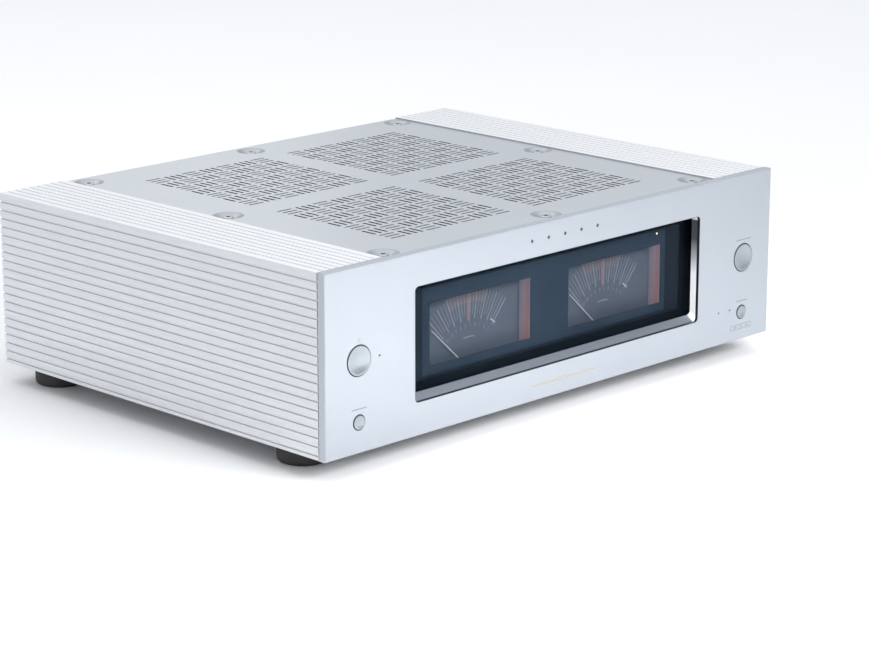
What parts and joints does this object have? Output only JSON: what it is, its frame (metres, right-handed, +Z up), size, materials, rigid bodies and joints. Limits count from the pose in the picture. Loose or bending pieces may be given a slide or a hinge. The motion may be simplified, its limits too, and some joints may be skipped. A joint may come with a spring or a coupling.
{
  "type": "power amplifier",
  "caption": "Full-width silver stereo power amplifier: thick front panel with a wide glazed meter window, ribbed side extrusions, vented screwed top cover, round feet.",
  "frame": {"origin": "bottom centre of the whole object's box; the feet stand on z = 0", "axes": "front panel faces -Y, +X to the right seen from the front, +Z up"},
  "size_m": [0.435, 0.3466, 0.1342],
  "materials": {
    "satin_silver_panel": "fine satin anodised, cool silver",
    "satin_silver_cover": "fine satin anodised sheet, cool silver",
    "ribbed_silver": "satin anodised extrusion with ribs along its length",
    "polished_steel": "polished, with a brushed lower sill",
    "smoked_glass": "clear smoked glass with a black printed border",
    "slate_mask": "matt slate blue-grey paint, black walls",
    "black_plastic": "fine matt moulded black",
    "meter_dial_print": "matt slate print with pale scale marks",
    "needle_paint": "thin pale pink-white paint",
    "button_silver": "satin turned face with a shallow dish",
    "light_pipe": "clear warm moulding",
    "circuit_board": "green solder mask",
    "plain_steel": "zinc plated sheet",
    "rear_steel": "fine textured silver-grey paint",
    "screw_steel": "bright machined head",
    "foot_rubber": "matt dark brown-black",
    "nickel": "satin nickel plate",
    "copper_winding": "wound enamelled copper",
    "heat_sink_black": "black anodised",
    "capacitor_sleeve": "dark printed sleeve without words",
    "cap_red": "translucent moulded red",
    "cap_black": "moulded black"
  },
  "bodies": {
    "chassis": {"front_panel": "satin_silver_panel", "top_cover": "satin_silver_cover", "left_side_panel": "ribbed_silver", "right_side_panel": "ribbed_silver", "window_bezel": "polished_steel", "window_glass": "smoked_glass", "meter_mask": "slate_mask", "left_meter_housing": "black_plastic", "right_meter_housing": "black_plastic", "left_speaker_terminals": "black_plastic", "right_speaker_terminals": "black_plastic", "rca_input_block": "black_plastic", "power_inlet": "black_plastic", "main_switch_housing": "black_plastic", "left_meter_dial": "meter_dial_print", "right_meter_dial": "meter_dial_print", "standby_light_pipe": "light_pipe", "status_light_pipe": "light_pipe", "left_button_board": "circuit_board", "right_button_board": "circuit_board", "left_amplifier_board": "circuit_board", "right_amplifier_board": "circuit_board", "power_supply_board": "circuit_board", "front_cross_rail": "plain_steel", "bottom_pan": "plain_steel", "left_meter_movement": "plain_steel", "right_meter_movement": "plain_steel", "input_selector_housing": "plain_steel", "rear_panel": "rear_steel", "cover_screw_1": "screw_steel", "cover_screw_2": "screw_steel", "cover_screw_3": "screw_steel", "cover_screw_4": "screw_steel", "cover_screw_5": "screw_steel", "cover_screw_6": "screw_steel", "cover_screw_7": "screw_steel", "cover_screw_8": "screw_steel", "front_left_foot": "foot_rubber", "front_right_foot": "foot_rubber", "rear_left_foot": "foot_rubber", "rear_right_foot": "foot_rubber", "left_xlr_input": "nickel", "right_xlr_input": "nickel", "toroidal_transformer": "copper_winding", "left_heat_sink": "heat_sink_black", "right_heat_sink": "heat_sink_black", "left_filter_capacitor": "capacitor_sleeve", "right_filter_capacitor": "capacitor_sleeve"},
    "standby_button": {"standby_button": "button_silver"},
    "speaker_select_button": {"speaker_select_button": "button_silver"},
    "meter_mode_button": {"meter_mode_button": "button_silver"},
    "display_button": {"display_button": "button_silver"},
    "left_needle": {"left_meter_needle": "needle_paint"},
    "right_needle": {"right_meter_needle": "needle_paint"},
    "main_switch_rocker": {"main_switch_rocker": "black_plastic"},
    "input_selector_slider": {"input_selector_slider": "black_plastic"},
    "left_positive_cap": {"left_positive_cap": "cap_red"},
    "left_negative_cap": {"left_negative_cap": "cap_black"},
    "right_positive_cap": {"right_positive_cap": "cap_red"},
    "right_negative_cap": {"right_negative_cap": "cap_black"}
  },
  "joints": [
    {"name": "standby_button_press", "type": "slide", "parent": "chassis", "child": "standby_button", "axis": [0, 1, 0], "range_m": [0, 0.0015], "stiffness_N_per_m": 900, "springref_m": -0.0005},
    {"name": "speaker_select_button_press", "type": "slide", "parent": "chassis", "child": "speaker_select_button", "axis": [0, 1, 0], "range_m": [0, 0.0015], "stiffness_N_per_m": 700, "springref_m": -0.0005},
    {"name": "meter_mode_button_press", "type": "slide", "parent": "chassis", "child": "meter_mode_button", "axis": [0, 1, 0], "range_m": [0, 0.0015], "stiffness_N_per_m": 900, "springref_m": -0.0005},
    {"name": "display_button_press", "type": "slide", "parent": "chassis", "child": "display_button", "axis": [0, 1, 0], "range_m": [0, 0.0015], "stiffness_N_per_m": 700, "springref_m": -0.0005},
    {"name": "left_needle_swing", "type": "hinge", "parent": "chassis", "child": "left_needle", "pos_m": [-0.066, -0.15075, 0.0382], "axis": [0, 1, 0], "range_deg": [0, 94], "stiffness_Nm_per_rad": 0.0002},
    {"name": "right_needle_swing", "type": "hinge", "parent": "chassis", "child": "right_needle", "pos_m": [0.066, -0.15075, 0.0382], "axis": [0, 1, 0], "range_deg": [0, 94], "stiffness_Nm_per_rad": 0.0002},
    {"name": "main_switch_rock", "type": "hinge", "parent": "chassis", "child": "main_switch_rocker", "pos_m": [-0.165, 0.14775, 0.1], "axis": [0, 0, 1], "range_deg": [-16, 0]},
    {"name": "input_selector_slide", "type": "slide", "parent": "chassis", "child": "input_selector_slider", "axis": [1, 0, 0], "range_m": [0, 0.01]},
    {"name": "left_positive_cap_turn", "type": "hinge", "parent": "chassis", "child": "left_positive_cap", "pos_m": [-0.038, 0.16475, 0.072], "axis": [0, 1, 0], "range_deg": [0, 1080]},
    {"name": "left_negative_cap_turn", "type": "hinge", "parent": "chassis", "child": "left_negative_cap", "pos_m": [-0.066, 0.16475, 0.072], "axis": [0, 1, 0], "range_deg": [0, 1080]},
    {"name": "right_positive_cap_turn", "type": "hinge", "parent": "chassis", "child": "right_positive_cap", "pos_m": [0.066, 0.16475, 0.072], "axis": [0, 1, 0], "range_deg": [0, 1080]},
    {"name": "right_negative_cap_turn", "type": "hinge", "parent": "chassis", "child": "right_negative_cap", "pos_m": [0.038, 0.16475, 0.072], "axis": [0, 1, 0], "range_deg": [0, 1080]}
  ]
}
